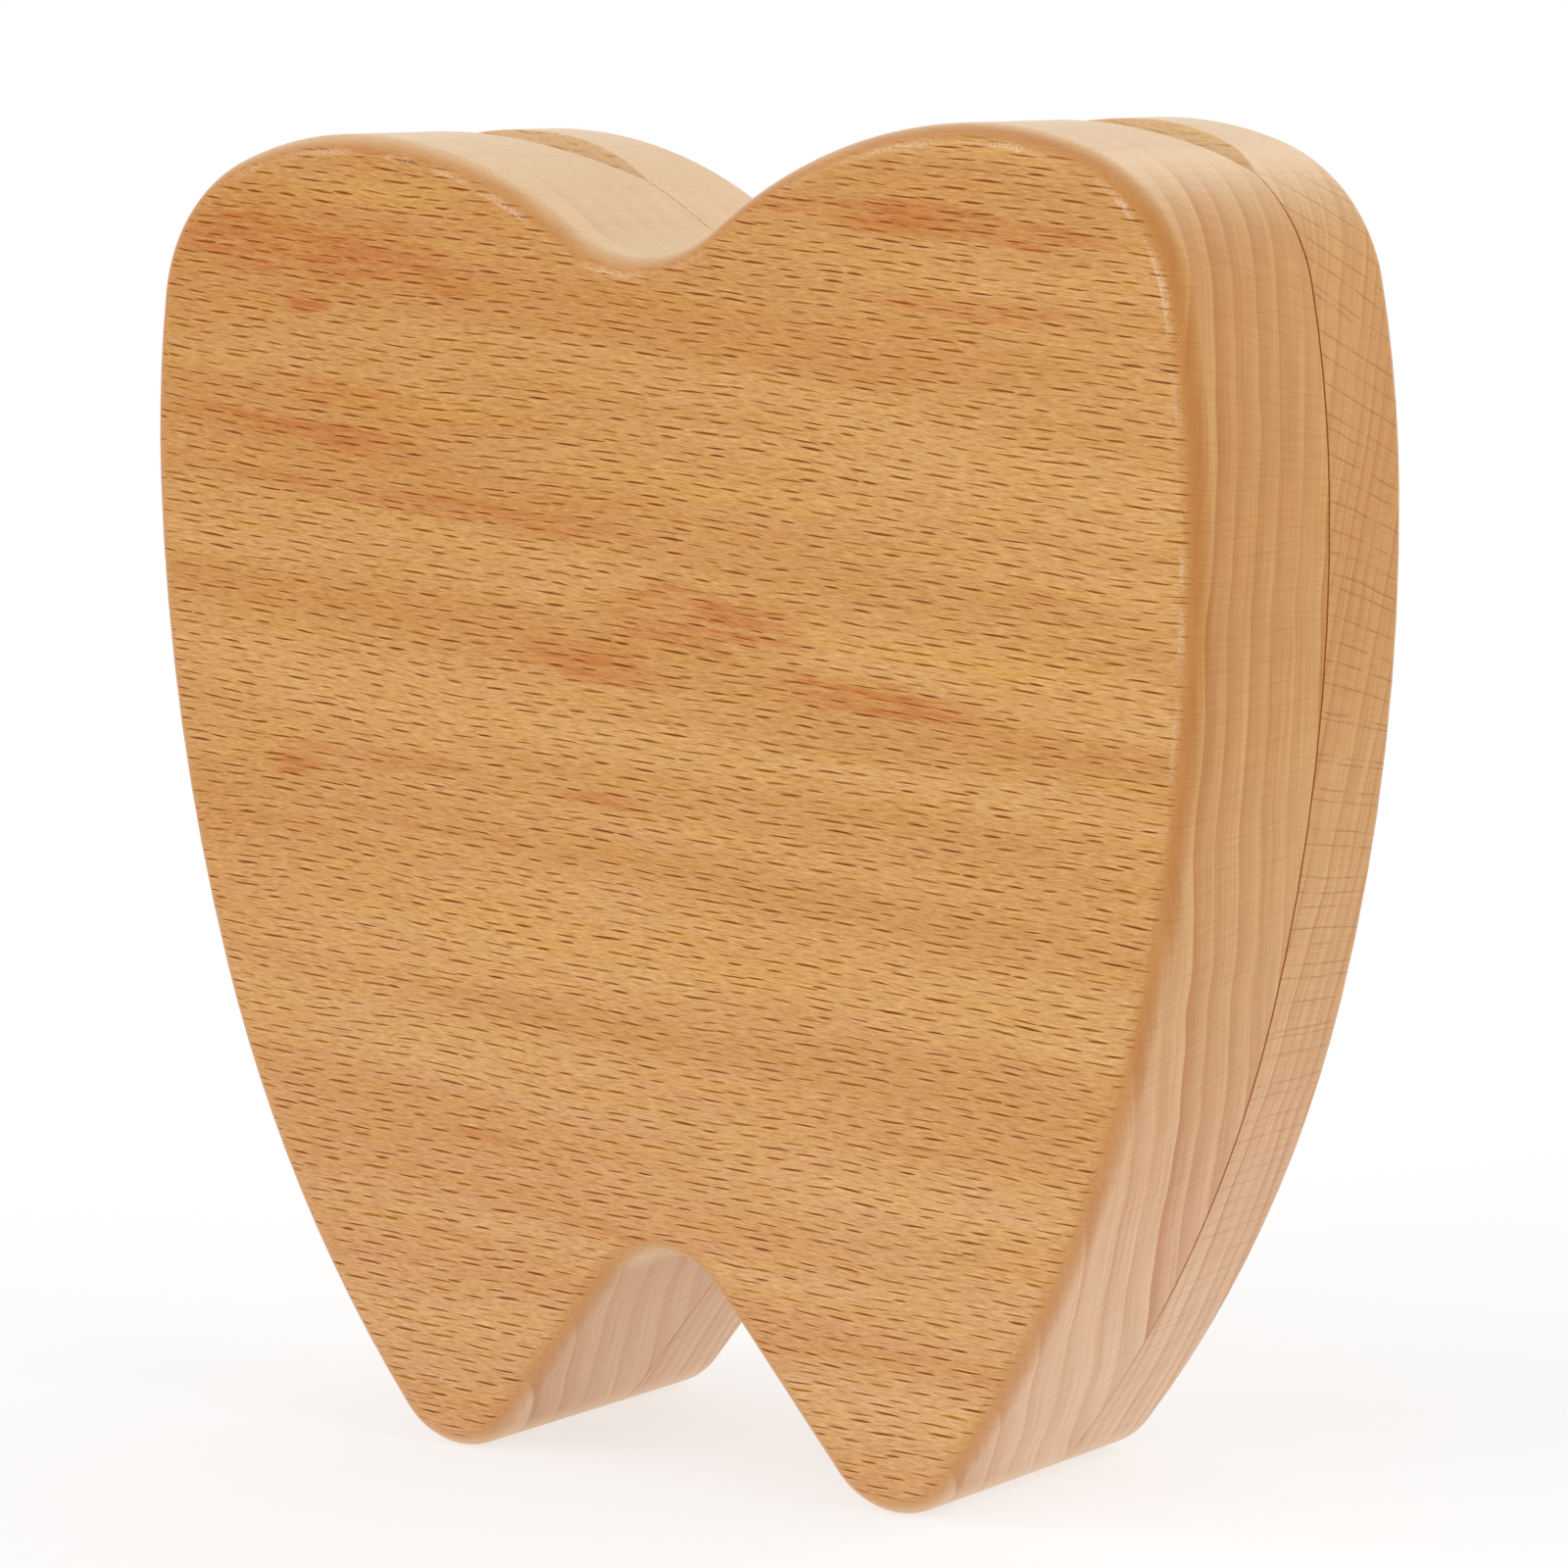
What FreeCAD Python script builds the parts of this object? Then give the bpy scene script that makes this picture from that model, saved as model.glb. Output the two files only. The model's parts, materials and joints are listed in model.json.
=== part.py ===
import FreeCAD, Part
import math
import os

V = FreeCAD.Vector

# Tooth outline seen from the front, in millimetres: x to the right, z up from the root tips
height = 110.0
half_width = 53.0
lobe_inset = 21.6
dip_depth = 10.2
dip_radius = 13.0
crown_radius = 31.5
shoulder_radius = 14.3
flank_radius = 97.0
widest_drop = 29.2
root_spacing = 45.0
tip_radius = 7.3
root_slope = 39.0
arch_height = 18.8
arch_radius = 7.0

# The two beech halves: a thick body in front, a thinner lid behind, and the thin joint between them
body_depth = 18.7
lid_depth = 11.65
joint_gap = 0.2
front_round = 2.0
rear_round = 1.6

# V cut along the crown at the joint, which lets the lid swing up to a right angle
hinge_drop = 4.5
bevel_angle = 45.5

# Concealed barrel hinges, glued into blind holes drilled square to the joint
barrel_diameter = 5.0
body_barrel_length = 10.0
lid_barrel_length = 8.0
barrel_chamfer = 0.4
tongue_thickness = 1.6
tongue_side_play = 0.1
swing_clearance = 0.25
pin_diameter = 1.2
pin_recess = 0.2
pin_press_clearance = 0.01
pin_running_clearance = 0.04
glue_gap = 0.05
hole_end_gap = 0.1

# Closing magnets, one pair in each root
magnet_diameter = 6.0
magnet_thickness = 2.5
magnet_rise = 12.5
magnet_recess = 0.05

# Tooth sockets on two arcs, one for each jaw
sockets_per_jaw = 10
socket_diameter = 8.2
socket_depth = 10.0
socket_floor_round = 1.5
socket_mouth_chamfer = 0.4
jaw_inset = 12.0
upper_jaw_drop = 20.0
upper_jaw_rise = 24.0
lower_jaw_lift = 12.2
lower_jaw_fall = 23.0

# Glass vial, lying along x with its mouth to the right; no round takes more of its step than step_share
vial_diameter = 12.0
vial_height = 38.5
vial_wall = 0.8
vial_base = 1.2
vial_foot_round = 1.2
vial_shoulder_round = 1.6
neck_diameter = 8.5
neck_length = 2.9
rim_diameter = 10.9
rim_height = 2.9
rim_round = 0.9
step_share = 0.95

# Tapered cork
cork_top_diameter = 9.4
cork_bottom_diameter = 6.6
cork_length = 11.9
cork_depth = 4.6
cork_clearance = 0.05
cork_edge_round = 0.4
cork_pull = 7.0

# Milled pocket for the vial, over the pocket for the tweezers
vial_play = 0.3
pocket_bridge = 2.4
bridge_lift = 2.4

# Moulded tweezers, lying along x with the tips to the right
tweezers_length = 59.4
tweezers_thickness = 3.2
head_width = 5.4
knee_width = 13.5
arm_width = 1.8
bow_depth = 4.4
pivot_from_top = 8.0
knee_from_top = 21.0
tip_length = 4.4
tip_land = 0.25
head_round = 1.0
pivot_gap = 0.1
grip_teeth = 12
grip_pitch = 1.2
grip_depth = 0.3

# Milled pocket for the tweezers, and the finger scoop that the two pockets share
tweezers_play = 0.4
tweezers_pocket_corner = 3.0
tweezers_floor_play = 0.2
scoop_diameter = 22.0
scoop_depth = 8.0

total_depth = body_depth + joint_gap + lid_depth
front_y = -total_depth / 2
rear_y = total_depth / 2
body_joint_y = front_y + body_depth
lid_joint_y = body_joint_y + joint_gap
hinge_y = body_joint_y + joint_gap / 2
lobe_x = half_width - lobe_inset
root_x = root_spacing / 2
hinge_z = height - hinge_drop
past = 1.0

os.makedirs("parts", exist_ok=True)


def save(shape, node):
    shape.exportStep("parts/" + node + ".step")


def flat(x, z):
    return V(x, 0, z)


def toward(start, end, distance):
    return start + (end - start).normalize() * distance


def circles_meet(centre_a, reach_a, centre_b, reach_b):
    """The point at the given reach from both centres that lies further up."""
    gap = centre_b - centre_a
    along = (reach_a**2 - reach_b**2 + gap.Length**2) / (2 * gap.Length)
    aside = math.sqrt(reach_a**2 - along**2)
    unit = V(gap).normalize()
    square = V(-unit.z, 0, unit.x)
    foot = centre_a + unit * along
    return max(foot + square * aside, foot - square * aside, key=lambda point: point.z)


def outline_stops():
    """Where the arcs and lines of the right half of the outline meet, from the dip down to the arch."""
    dip = flat(0, height - dip_depth + dip_radius)
    inner_radius = (lobe_x**2 + dip_depth**2) / (2 * dip_depth) - dip_radius
    inner = flat(lobe_x, height - inner_radius)
    crown = flat(lobe_x, height - crown_radius)
    widest = flat(half_width, height - widest_drop)
    flank = widest - flat(flank_radius, 0)
    shoulder = circles_meet(crown, crown_radius - shoulder_radius, flank, flank_radius - shoulder_radius)

    # two arcs run from straight down at the widest point to the slope of the root
    slope = math.radians(root_slope)
    tip = flat(root_x, tip_radius)
    root_side = tip + flat(math.cos(slope), -math.sin(slope)) * tip_radius
    down = flat(0, -1)
    inward = flat(-math.sin(slope), -math.cos(slope))
    span = root_side - widest
    bend = 2 * (1 - down.dot(inward))
    lean = span.dot(down + inward)
    reach = (math.sqrt(lean**2 + bend * span.dot(span)) - lean) / bend
    side = (widest + down * reach + root_side - inward * reach) / 2

    # a straight line crosses from the outside of the tip to the inside of the arch
    arch = flat(0, arch_height - arch_radius)
    across = arch - tip
    turn = math.acos((tip_radius + arch_radius) / across.Length)
    heading = math.atan2(across.z, across.x) + turn
    normal = flat(math.cos(heading), math.sin(heading))
    return [
        toward(dip, inner, dip_radius),
        flat(lobe_x, height),
        toward(crown, shoulder, crown_radius),
        toward(flank, shoulder, flank_radius),
        widest,
        side,
        root_side,
        tip + normal * tip_radius,
        arch - normal * arch_radius,
        flat(0, arch_height),
    ]


def tangent_wire(start, heading, stops):
    """Arcs, or lines where the heading already points at the stop, each tangent to the one before."""
    edges = []
    for stop in stops:
        chord = stop - start
        unit = V(chord).normalize()
        half_turn = math.atan2(heading.x * unit.z - heading.z * unit.x, heading.dot(unit))
        if abs(half_turn) < 1e-6:
            edges.append(Part.LineSegment(start, stop).toShape())
        else:
            bulge = V(unit.z, 0, -unit.x) * (chord.Length / 2 * math.tan(half_turn / 2))
            edges.append(Part.Arc(start, (start + stop) / 2 + bulge, stop).toShape())
        heading = unit * (2 * heading.dot(unit)) - heading
        start = stop
    return Part.Wire(edges)


def tooth_slab(from_y, to_y):
    right = outline_stops()
    left = [flat(-stop.x, stop.z) for stop in reversed(right[:-1])]
    dip_bottom = flat(0, height - dip_depth)
    wire = tangent_wire(dip_bottom, flat(1, 0), right + left + [dip_bottom])
    wire.translate(V(0, from_y, 0))
    return Part.Face(wire).extrude(V(0, to_y - from_y, 0))


def round_edge(slab, at_y, radius):
    edges = [e for e in slab.Edges if abs(e.BoundBox.YMin - at_y) + abs(e.BoundBox.YMax - at_y) < 1e-4]
    return slab.makeFillet(radius, edges)


def rod(radius, start, end):
    return Part.makeCylinder(radius, (end - start).Length, start, end - start)


def crown_bevel(joint_y, outward):
    """The wedge cut off the crown of one half, from the hinge line upwards; outward is -1 for the body."""
    top = height + past
    run = (top - hinge_z) * math.tan(math.radians(bevel_angle))
    corners = [V(0, joint_y, hinge_z), V(0, joint_y + outward * run, top), V(0, joint_y - outward * past, top)]
    corners += [V(0, joint_y - outward * past, hinge_z), corners[0]]
    wedge = Part.Face(Part.makePolygon(corners))
    wedge.translate(V(-half_width - past, 0, 0))
    return wedge.extrude(V(2 * (half_width + past), 0, 0))


def rounded_slot(x_low, x_high, z_low, z_high, depth, corner):
    """A milled pocket with rounded corners, from past the joint face of the body down to its floor."""
    size = V(x_high - x_low, depth + past, z_high - z_low)
    slot = Part.makeBox(size.x, size.y, size.z, V(x_low, body_joint_y - depth, z_low))
    uprights = [e for e in slot.Edges if abs(e.BoundBox.YLength - size.y) < 1e-4]
    return slot.makeFillet(corner, uprights)


def socket_cutter():
    """A drilled tooth socket with a rounded floor and a small chamfer at its mouth, at x = z = 0."""
    radius = socket_diameter / 2
    floor = -socket_depth
    bend = socket_floor_round * (1 - math.sqrt(0.5))
    mouth = radius + socket_mouth_chamfer
    points = [V(0, past, 0), V(0, floor, 0), V(radius - socket_floor_round, floor, 0)]
    points += [V(radius, floor + socket_floor_round, 0), V(radius, -socket_mouth_chamfer, 0)]
    points += [V(mouth, 0, 0), V(mouth, past, 0)]
    edges = [Part.LineSegment(points[i], points[i + 1]).toShape() for i in (0, 1, 3, 4, 5)]
    edges.insert(2, Part.Arc(points[2], V(radius - bend, floor + bend, 0), points[3]).toShape())
    edges.append(Part.LineSegment(points[6], points[0]).toShape())
    cutter = Part.Face(Part.Wire(edges)).revolve(V(0, 0, 0), V(0, 1, 0), 360)
    cutter.translate(V(0, body_joint_y, 0))
    return cutter


def jaw_places(crest_z, sagitta, upward):
    """The centres of one jaw's sockets, evenly spaced on an arc through its crest and its two ends."""
    end_x = half_width - jaw_inset
    radius = (end_x**2 + sagitta**2) / (2 * sagitta)
    half_angle = math.asin(end_x / radius)
    places = []
    for i in range(sockets_per_jaw):
        angle = half_angle * (2 * i / (sockets_per_jaw - 1) - 1)
        places.append(V(radius * math.sin(angle), 0, crest_z - upward * radius * (1 - math.cos(angle))))
    return places


# Interior layout of the body, on its joint face
upper_jaw_z = height - upper_jaw_drop
lower_jaw_z = arch_height + lower_jaw_lift
cork_proud = cork_length - cork_depth
vial_pocket_length = vial_height + cork_proud + cork_pull + 2 * vial_play
vial_widest = max(vial_diameter, rim_diameter)
vial_pocket_depth = vial_widest + 2 * vial_play
vial_half = vial_pocket_depth / 2
vial_start_x = -vial_pocket_length / 2 + vial_play
vial_y = body_joint_y - vial_play - vial_widest / 2
tweezers_pocket_length = tweezers_length + 2 * tweezers_play
tweezers_pocket_width = knee_width + 2 * tweezers_play
tweezers_pocket_depth = tweezers_thickness + 2 * tweezers_floor_play
tweezers_half = tweezers_pocket_width / 2
tweezers_start_x = -tweezers_length / 2
bridge_z = (upper_jaw_z + lower_jaw_z) / 2 + bridge_lift
vial_z = bridge_z + pocket_bridge / 2 + vial_half
tweezers_z = bridge_z - pocket_bridge / 2 - tweezers_half
barrel_hole_radius = barrel_diameter / 2 + glue_gap
magnet_hole_radius = magnet_diameter / 2 + glue_gap
magnet_places = [V(-root_x, 0, magnet_rise), V(root_x, 0, magnet_rise)]
hinge_places = [V(-lobe_x, hinge_y, hinge_z), V(lobe_x, hinge_y, hinge_z)]
sides = ["left", "right"]


# Body half: the front block with the sockets and pockets milled into its joint face
body = round_edge(tooth_slab(front_y, body_joint_y), front_y, front_round)
body = body.cut(crown_bevel(body_joint_y, -1))
cutters = []
socket = socket_cutter()
jaws = jaw_places(upper_jaw_z, upper_jaw_rise, 1) + jaw_places(lower_jaw_z, lower_jaw_fall, -1)
for place in jaws:
    cutters.append(socket.translated(place))
cutters.append(
    rounded_slot(
        -vial_pocket_length / 2,
        vial_pocket_length / 2,
        vial_z - vial_half,
        vial_z + vial_half,
        vial_pocket_depth,
        vial_foot_round + vial_play,
    )
)
cutters.append(
    rounded_slot(
        -tweezers_pocket_length / 2,
        tweezers_pocket_length / 2,
        tweezers_z - tweezers_half,
        tweezers_z + tweezers_half,
        tweezers_pocket_depth,
        tweezers_pocket_corner,
    )
)
scoop_floor = V(0, body_joint_y - scoop_depth, bridge_z)
cutters.append(rod(scoop_diameter / 2, scoop_floor, V(0, body_joint_y + past, bridge_z)))
for place in hinge_places:
    hole_end = place - V(0, body_barrel_length + hole_end_gap, 0)
    cutters.append(rod(barrel_hole_radius, hole_end, place + V(0, past, 0)))
body_magnet_floor = body_joint_y - magnet_recess - magnet_thickness - glue_gap
for place in magnet_places:
    start = place + V(0, body_magnet_floor, 0)
    cutters.append(rod(magnet_hole_radius, start, place + V(0, body_joint_y + past, 0)))
save(body.cut(cutters).removeSplitter(), "body_half")


# Lid half: a plain flat board of the same outline, with only its hinge and magnet holes
lid = round_edge(tooth_slab(lid_joint_y, rear_y), rear_y, rear_round)
lid = lid.cut(crown_bevel(lid_joint_y, 1))
cutters = []
for place in hinge_places:
    hole_end = place + V(0, lid_barrel_length + hole_end_gap, 0)
    cutters.append(rod(barrel_hole_radius, place - V(0, past, 0), hole_end))
lid_magnet_floor = lid_joint_y + magnet_recess + magnet_thickness + glue_gap
for place in magnet_places:
    start = place + V(0, lid_joint_y - past, 0)
    cutters.append(rod(magnet_hole_radius, start, place + V(0, lid_magnet_floor, 0)))
save(lid.cut(cutters).removeSplitter(), "lid_half")


def ball_barrel(length, outward):
    """A round barrel along y with a ball end about the hinge axis, at the origin."""
    radius = barrel_diameter / 2
    end = outward * length
    points = [V(0, end, 0), V(radius - barrel_chamfer, end, 0)]
    points += [V(radius, end - outward * barrel_chamfer, 0), V(radius, 0, 0)]
    edges = [Part.LineSegment(points[i], points[i + 1]).toShape() for i in range(3)]
    on_ball = radius * math.sqrt(0.5)
    ball_pole = V(0, -outward * radius, 0)
    edges.append(Part.Arc(points[3], V(on_ball, -outward * on_ball, 0), ball_pole).toShape())
    edges.append(Part.LineSegment(ball_pole, points[0]).toShape())
    return Part.Face(Part.Wire(edges)).revolve(V(0, 0, 0), V(0, 1, 0), 360)


def slab_across(thickness, y_low, y_high):
    wide = barrel_diameter
    return Part.makeBox(thickness, y_high - y_low, 2 * wide, V(-thickness / 2, y_low, -wide))


# Barrel hinges: a forked barrel in the body, a tongued barrel in the lid, and a pin through both
barrel_radius = barrel_diameter / 2
clear_of_ball = barrel_radius + swing_clearance
half_pin = V(barrel_radius - pin_recess, 0, 0)
past_ball = V(barrel_radius + past, 0, 0)
fork_slot = slab_across(tongue_thickness + 2 * tongue_side_play, -clear_of_ball, clear_of_ball)
fork = ball_barrel(body_barrel_length, -1).cut(fork_slot)
fork = fork.cut(rod(pin_diameter / 2 + pin_press_clearance, -past_ball, past_ball))
tongue = slab_across(tongue_thickness, -clear_of_ball, clear_of_ball)
plug = Part.makeBox(
    2 * barrel_diameter,
    lid_barrel_length,
    2 * barrel_diameter,
    V(-barrel_diameter, clear_of_ball, -barrel_diameter),
)
knuckle = ball_barrel(lid_barrel_length, 1).common(tongue.fuse(plug))
knuckle = knuckle.cut(rod(pin_diameter / 2 + pin_running_clearance, -past_ball, past_ball))
pin = rod(pin_diameter / 2, -half_pin, half_pin)
for side, place in zip(sides, hinge_places):
    save(fork.translated(place), "hinge_fork_" + side)
    save(knuckle.translated(place), "hinge_tongue_" + side)
    save(pin.translated(place), "hinge_pin_" + side)


# Magnets, glued a hair below the joint faces
for side, place in zip(sides, magnet_places):
    body_face = place + V(0, body_joint_y - magnet_recess, 0)
    lid_face = place + V(0, lid_joint_y + magnet_recess, 0)
    thick = V(0, magnet_thickness, 0)
    save(rod(magnet_diameter / 2, body_face - thick, body_face), "body_magnet_" + side)
    save(rod(magnet_diameter / 2, lid_face, lid_face + thick), "lid_magnet_" + side)


def turned(points, rounds):
    """A solid turned about x from (along, radius) points, with the listed corners rounded."""
    wire = Part.makePolygon([V(along, radius, 0) for along, radius in points + points[:1]])
    solid = Part.Face(wire).revolve(V(0, 0, 0), V(1, 0, 0), 360)
    for along, radius, corner_round in rounds:
        near = [e for e in solid.Edges if is_ring(e, along, radius)]
        solid = solid.makeFillet(corner_round, near)
    return solid


def is_ring(edge, along, radius):
    if edge.Curve.TypeId != "Part::GeomCircle":
        return False
    return abs(edge.Curve.Center.x - along) < 1e-4 and abs(edge.Curve.Radius - radius) < 1e-4


def cork_radius(from_bottom):
    """The radius of the cork's taper at a distance from its lower end."""
    return cork_bottom_diameter / 2 + (cork_top_diameter - cork_bottom_diameter) / 2 * from_bottom / cork_length


# Glass vial: a blown bottle with a straight neck, a rolled rim and a bore tapered for its cork
rim_from = vial_height - rim_height
neck_from = rim_from - neck_length
outer_radius = vial_diameter / 2
neck_radius = neck_diameter / 2
rim_radius = rim_diameter / 2
mouth_radius = cork_radius(cork_depth) + cork_clearance
throat_radius = cork_radius(0) + cork_clearance
throat_at = vial_height - cork_depth
inner_top = neck_from - vial_wall
inner_radius = outer_radius - vial_wall
shoulder_round = min(vial_shoulder_round, step_share * (outer_radius - neck_radius))
inner_shoulder_round = min(vial_shoulder_round - vial_wall, step_share * (inner_radius - throat_radius))
lip_round = min(rim_round, step_share * (rim_radius - neck_radius))
vial_points = [(0, 0), (0, outer_radius), (neck_from, outer_radius), (neck_from, neck_radius)]
vial_points += [(rim_from, neck_radius), (rim_from, rim_radius), (vial_height, rim_radius)]
vial_points += [(vial_height, mouth_radius), (throat_at, throat_radius), (inner_top, throat_radius)]
vial_points += [(inner_top, inner_radius), (vial_base, inner_radius), (vial_base, 0)]
vial_rounds = [
    (0, outer_radius, vial_foot_round),
    (neck_from, outer_radius, shoulder_round),
    (rim_from, rim_radius, lip_round),
    (vial_height, rim_radius, lip_round),
    (inner_top, inner_radius, inner_shoulder_round),
    (vial_base, inner_radius, vial_foot_round),
]
vial = turned(vial_points, vial_rounds)
save(vial.translated(V(vial_start_x, vial_y, vial_z)), "glass_vial")


# Cork: a tapered stopper pushed part way into the neck
cork_points = [(0, 0), (0, cork_radius(0)), (cork_length, cork_radius(cork_length)), (cork_length, 0)]
cork = turned(cork_points, [(cork_length, cork_radius(cork_length), cork_edge_round)])
save(cork.translated(V(vial_start_x + throat_at, vial_y, vial_z)), "cork")


# Tweezers: one moulding, drawn as a bow and two arms that turn a little where the plastic bends
knee_rise = (knee_width - head_width) / 2
lean = math.atan2(knee_rise, knee_from_top)
root_round = arm_width / 2 * math.cos(lean)
tweezers_y = body_joint_y - tweezers_pocket_depth + tweezers_floor_play


def outer_edge(from_top):
    return head_width / 2 + knee_rise * from_top / knee_from_top


pivot_aside = outer_edge(pivot_from_top) - arm_width / 2


def tweezers_point(from_top, aside):
    return V(tweezers_start_x + from_top, tweezers_y, tweezers_z + aside)


def tweezers_solid(edges):
    return Part.Face(Part.Wire(edges)).extrude(V(0, tweezers_thickness, 0))


def tweezers_pivot(aside, radius):
    start = tweezers_point(pivot_from_top, aside)
    return rod(radius, start, start + V(0, tweezers_thickness, 0))


def lines_through(points):
    return [Part.LineSegment(a, b).toShape() for a, b in zip(points, points[1:])]


stub_outer = outer_edge(pivot_from_top)
stub_inner = stub_outer - arm_width
head_points = [
    tweezers_point(pivot_from_top, -stub_inner),
    tweezers_point(pivot_from_top, -stub_outer),
    tweezers_point(0, -head_width / 2),
    tweezers_point(0, head_width / 2),
    tweezers_point(pivot_from_top, stub_outer),
    tweezers_point(pivot_from_top, stub_inner),
]
bow = Part.Arc(head_points[-1], tweezers_point(bow_depth, 0), head_points[0]).toShape()
head = tweezers_solid(lines_through(head_points) + [bow])
top_corners = [e for e in head.Edges if abs(e.BoundBox.XMax - tweezers_start_x) < 1e-4 and e.BoundBox.ZLength < 1e-4]
head = head.makeFillet(head_round, top_corners)
for aside in (-pivot_aside, pivot_aside):
    head = head.cut(tweezers_pivot(aside, root_round + pivot_gap))
save(head, "tweezers_head")


def tweezers_arm(sign):
    """One arm: a slanted root, a straight blade with a notched grip outside, and a tip cut to its inner edge."""
    outer = knee_width / 2
    inner = outer - arm_width
    places = [(pivot_from_top, stub_inner), (pivot_from_top, stub_outer), (knee_from_top, outer)]
    for i in range(grip_teeth):
        notch = knee_from_top + grip_pitch * (i + 0.5)
        places += [(notch, outer - grip_depth), (notch + grip_pitch / 2, outer)]
    places += [(tweezers_length - tip_length, outer), (tweezers_length, inner + tip_land)]
    places += [(tweezers_length, inner), (knee_from_top, inner), places[0]]
    arm = tweezers_solid(lines_through([tweezers_point(along, sign * aside) for along, aside in places]))
    return arm.fuse(tweezers_pivot(sign * pivot_aside, root_round)).removeSplitter()


save(tweezers_arm(1), "tweezers_upper_arm")
save(tweezers_arm(-1), "tweezers_lower_arm")
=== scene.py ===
import json
import math

import bmesh
import bpy
from mathutils import Matrix, Vector


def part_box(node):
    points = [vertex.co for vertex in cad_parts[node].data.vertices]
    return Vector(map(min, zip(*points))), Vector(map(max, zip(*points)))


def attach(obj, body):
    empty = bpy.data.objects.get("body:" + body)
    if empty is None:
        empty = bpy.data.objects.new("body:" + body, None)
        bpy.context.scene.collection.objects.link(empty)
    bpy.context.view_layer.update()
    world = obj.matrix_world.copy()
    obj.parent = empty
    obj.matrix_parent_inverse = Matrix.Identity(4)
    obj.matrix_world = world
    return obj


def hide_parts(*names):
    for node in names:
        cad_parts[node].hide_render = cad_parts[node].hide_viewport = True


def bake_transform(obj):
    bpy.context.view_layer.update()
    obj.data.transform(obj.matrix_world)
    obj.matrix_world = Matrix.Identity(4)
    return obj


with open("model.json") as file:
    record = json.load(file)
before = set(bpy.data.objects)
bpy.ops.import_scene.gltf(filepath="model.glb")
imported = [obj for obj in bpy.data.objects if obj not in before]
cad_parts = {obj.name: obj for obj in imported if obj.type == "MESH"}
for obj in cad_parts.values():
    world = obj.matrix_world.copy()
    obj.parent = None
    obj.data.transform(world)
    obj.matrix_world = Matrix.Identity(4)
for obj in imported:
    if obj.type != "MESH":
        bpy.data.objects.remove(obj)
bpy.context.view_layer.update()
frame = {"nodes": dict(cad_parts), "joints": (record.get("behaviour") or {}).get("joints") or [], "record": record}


# Beech body half. The thick front block of the box is sawn to a tooth's outline from a flat-sawn board.
# Its front edge is rounded over, its joint face is drilled for twenty milk teeth and milled for the vial
# and the tweezers, and it is sealed with a satin lacquer.

MM = 0.001


class Wire:
    """An output socket of a node tree: sums of wires add Math nodes, and node() adds any other node."""

    def __init__(self, tree, socket=None):
        self.tree = tree
        self.socket = socket

    def node(self, kind, settings=(), inputs=(), output=0):
        """Adds a node, sets its settings, then its sockets' values or links, and gives an output."""
        made = self.tree.nodes.new(kind)
        for name, value in dict(settings).items():
            setattr(made, name, value)
        for key, value in dict(inputs).items():
            if isinstance(value, Wire):
                self.tree.links.new(value.socket, made.inputs[key])
            else:
                made.inputs[key].default_value = value
        return Wire(self.tree, made.outputs[output])

    def math(self, operation, *values):
        return self.node("ShaderNodeMath", {"operation": operation}, enumerate(values))

    def __add__(self, other):
        return self.math("ADD", self, other)

    def __sub__(self, other):
        return self.math("SUBTRACT", self, other)

    def __rsub__(self, other):
        return self.math("SUBTRACT", other, self)

    def __mul__(self, other):
        return self.math("MULTIPLY", self, other)

    def __truediv__(self, other):
        return self.math("DIVIDE", self, other)

    def __pow__(self, other):
        return self.math("POWER", self, other)

    def __abs__(self):
        return self.math("ABSOLUTE", self)

    __radd__ = __add__
    __rmul__ = __mul__

    def part(self, axis):
        """One of the three numbers of a vector or colour."""
        return self.node("ShaderNodeSeparateXYZ", {}, {0: self}, axis)

    def rise(self, low, high):
        """A smooth step from 0 at low to 1 at high."""
        settings = {"interpolation_type": "SMOOTHSTEP"}
        return self.node("ShaderNodeMapRange", settings, {"Value": self, "From Min": low, "From Max": high})

    def vector(self, x, y, z):
        return self.node("ShaderNodeCombineXYZ", {}, {0: x, 1: y, 2: z})

    def noise(self, place, sizes, detail=2.0):
        """Noise of 0 to 1 about 0.5, with features of the given sizes along the three ways of a place."""
        spot = self.vector(*(way / size for way, size in zip(place, sizes)))
        return self.node("ShaderNodeTexNoise", {}, {"Vector": spot, "Scale": 1.0, "Detail": detail})

    def mix(self, factor, first, second, blend="MIX"):
        """Two colours mixed by a factor."""
        settings = {"data_type": "RGBA", "blend_type": blend}
        return self.node("ShaderNodeMix", settings, {0: factor, 6: first, 7: second}, 2)

    def layers(self, base, *washes):
        """A colour with other colours laid over it in turn, each by its own share."""
        for share, tint in washes:
            base = self.mix(share, base, tint)
        return base


def colour(*channels):
    """A screen colour of 0 to 255 a channel as the linear colour that shaders take."""
    shares = [channel / 255 for channel in channels]
    linear = [s / 12.92 if s <= 0.04045 else ((s + 0.055) / 1.055) ** 2.4 for s in shares]
    return (*linear, 1.0)


def new_finish(name, constants=()):
    """A new material, its surface shader with the given constants, and a wire to build from."""
    material = bpy.data.materials.new(name)
    material.use_nodes = True
    shader = material.node_tree.nodes["Principled BSDF"]
    for socket, value in dict(constants).items():
        shader.inputs[socket].default_value = value
    return material, shader, Wire(material.node_tree)


def feed(shader, name, wire):
    """Links a wire to a socket of a shader."""
    wire.tree.links.new(wire.socket, shader.inputs[name])


def emboss(shader, height, strength, depth):
    """Gives a surface a relief of a depth in millimetres."""
    inputs = {"Strength": strength, "Distance": depth * MM, "Height": height}
    feed(shader, "Normal", height.node("ShaderNodeBump", {}, inputs))


def surface_place(wire):
    """Where a point of the surface lies, in millimetres."""
    place = wire.node("ShaderNodeTexCoord", {}, {}, "Object")
    return [place.part(axis) * (1 / MM) for axis in range(3)]


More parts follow.
